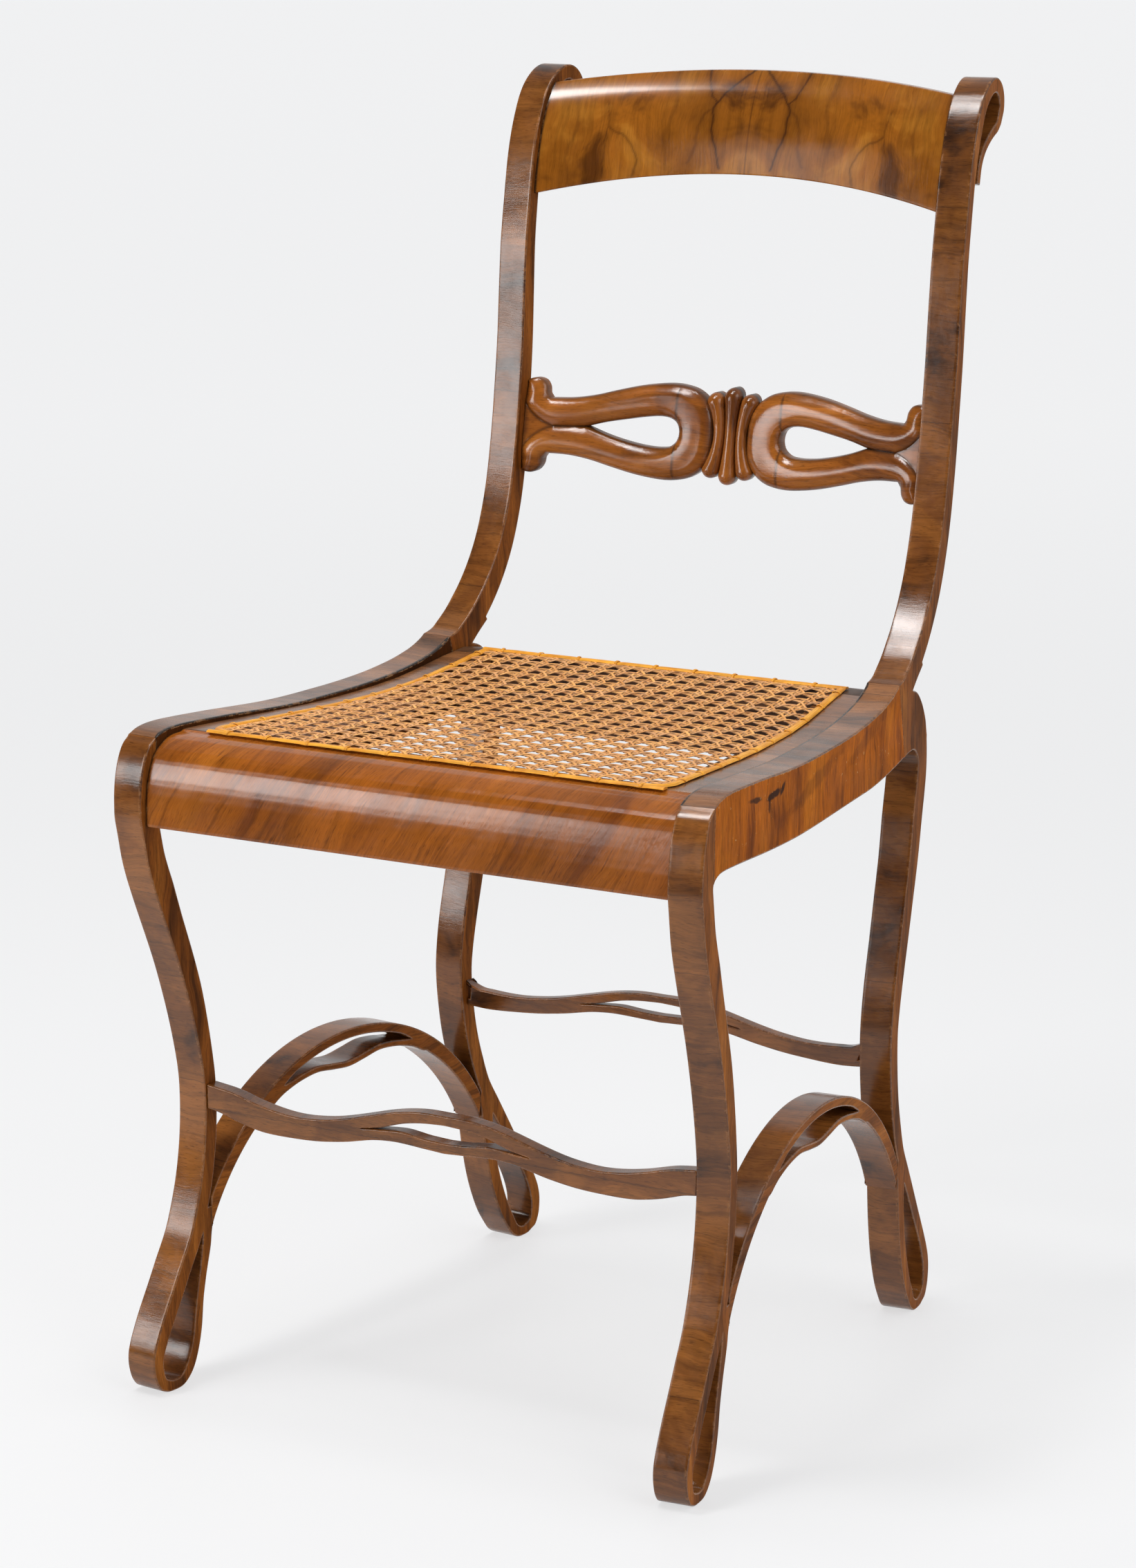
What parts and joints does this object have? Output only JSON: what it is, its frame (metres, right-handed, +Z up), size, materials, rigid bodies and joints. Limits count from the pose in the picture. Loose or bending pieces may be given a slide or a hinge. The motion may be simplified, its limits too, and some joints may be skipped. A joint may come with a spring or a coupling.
{
  "type": "cane seat side chair",
  "caption": "Armless side chair with loop feet, arched side stretchers, rolled back posts, bowed crest, loop and reed mid rail and dished woven cane seat.",
  "frame": {"origin": "on the floor, under the middle of the chair's bounding box", "axes": "+Z up, -Y towards where the sitter faces, +X to the right as seen from the front"},
  "size_m": [0.4422, 0.5196, 0.8695],
  "materials": {
    "showwood": "French polished walnut, dark, worn along the edges",
    "veneer": "glossy figured walnut veneer",
    "inner_wood": "satin stained walnut",
    "cane": "aged woven rattan cane, satin",
    "cane_binding": "flat cane strip, glossy honey colour"
  },
  "bodies": {
    "root": {"front_leg_right": "showwood", "front_leg_left": "showwood", "side_rail_right": "veneer", "side_rail_left": "veneer", "rear_post_right": "showwood", "rear_post_left": "showwood", "side_arch_right": "showwood", "side_arch_left": "showwood", "front_rail": "veneer", "rear_rail": "inner_wood", "seat_strip_right": "inner_wood", "seat_strip_left": "inner_wood", "crest_rail": "veneer", "mid_rail_centre": "showwood", "mid_rail_right": "showwood", "mid_rail_left": "showwood", "mid_rail_dowel_right_upper": "inner_wood", "mid_rail_dowel_left_upper": "inner_wood", "mid_rail_dowel_right_lower": "inner_wood", "mid_rail_dowel_left_lower": "inner_wood", "front_stretcher": "showwood", "rear_stretcher": "showwood", "cane_panel": "cane", "cane_binding_right": "cane_binding", "cane_binding_left": "cane_binding", "cane_binding_front": "cane_binding", "cane_binding_rear": "cane_binding"}
  },
  "joints": []
}
